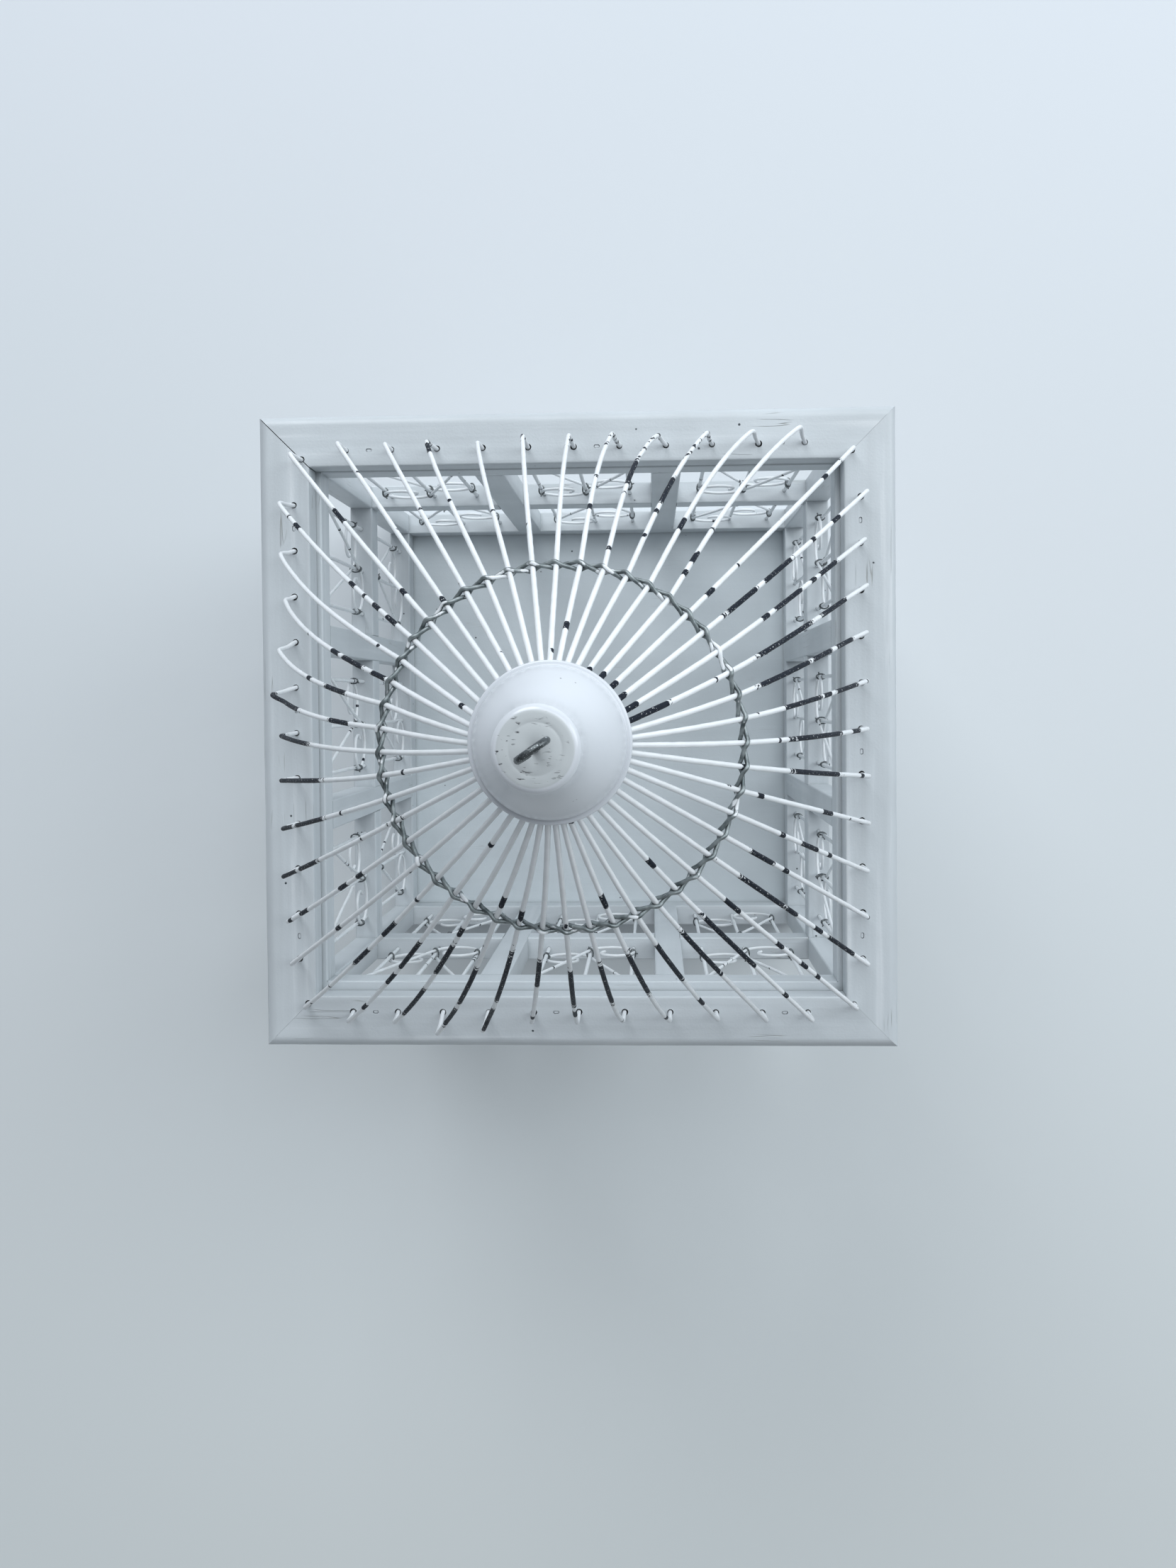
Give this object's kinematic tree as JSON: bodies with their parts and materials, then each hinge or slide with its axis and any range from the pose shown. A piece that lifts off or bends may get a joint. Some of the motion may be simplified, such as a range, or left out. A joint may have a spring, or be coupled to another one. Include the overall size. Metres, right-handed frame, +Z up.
{
  "type": "decorative wooden birdcage",
  "caption": "Square birdcage with wooden frames, scrolled wire grilles, a hinged roof of dome wires on a mitred rim, and a turned finial with a screw eye.",
  "frame": {"origin": "middle of the roof rim's square, at the underside of the floor panel", "axes": "+Z up, -Y is the front wall, +X to the right seen from the front"},
  "size_m": [0.3, 0.3, 0.5053],
  "materials": {
    "painted_wood": "satin white paint on softwood, slightly soiled, with hairline cracks",
    "painted_wire": "white paint on steel wire, chipped to the blue-black metal",
    "galvanised_wire": "dull zinc, grey-green, with remnants of white paint",
    "dark_steel": "dull dark steel",
    "hinge_brass": "plain aged brass"
  },
  "bodies": {
    "cage": {"floor_panel": "painted_wood", "corner_post_front_left": "painted_wood", "corner_post_front_right": "painted_wood", "corner_post_back_right": "painted_wood", "corner_post_back_left": "painted_wood", "bottom_rail_front": "painted_wood", "bottom_rail_right": "painted_wood", "bottom_rail_back": "painted_wood", "bottom_rail_left": "painted_wood", "middle_rail_front": "painted_wood", "middle_rail_right": "painted_wood", "middle_rail_back": "painted_wood", "middle_rail_left": "painted_wood", "top_rail_front": "painted_wood", "top_rail_right": "painted_wood", "top_rail_back": "painted_wood", "top_rail_left": "painted_wood", "stile_front_a": "painted_wood", "stile_front_b": "painted_wood", "stile_right_a": "painted_wood", "stile_right_b": "painted_wood", "stile_back_a": "painted_wood", "stile_back_b": "painted_wood", "stile_left_a": "painted_wood", "stile_left_b": "painted_wood", "upright_wires_front": "painted_wire", "upright_wires_right": "painted_wire", "upright_wires_back": "painted_wire", "upright_wires_left": "painted_wire", "scroll_wires_front": "painted_wire", "scroll_wires_right": "painted_wire", "scroll_wires_back": "painted_wire", "scroll_wires_left": "painted_wire", "binding_wires": "galvanised_wire", "hinge_cage_leaf_left": "hinge_brass", "hinge_cage_leaf_right": "hinge_brass", "hinge_pins": "dark_steel", "hinge_cage_screws": "hinge_brass"},
    "roof": {"rim_board_front": "painted_wood", "rim_board_right": "painted_wood", "rim_board_back": "painted_wood", "rim_board_left": "painted_wood", "dome_wires_front": "painted_wire", "dome_wires_right": "painted_wire", "dome_wires_back": "painted_wire", "dome_wires_left": "painted_wire", "rim_nails": "dark_steel", "hoop_outer_strand": "galvanised_wire", "hoop_inner_strand": "galvanised_wire", "finial": "painted_wood", "screw_eye": "dark_steel", "hinge_roof_leaf_left": "hinge_brass", "hinge_roof_leaf_right": "hinge_brass", "hinge_roof_screws": "hinge_brass"}
  },
  "joints": [
    {"name": "roof_hinge", "type": "hinge", "parent": "cage", "child": "roof", "pos_m": [0, 0.1394, 0.2369], "axis": [-1, 0, 0], "range_deg": [0, 98]}
  ]
}
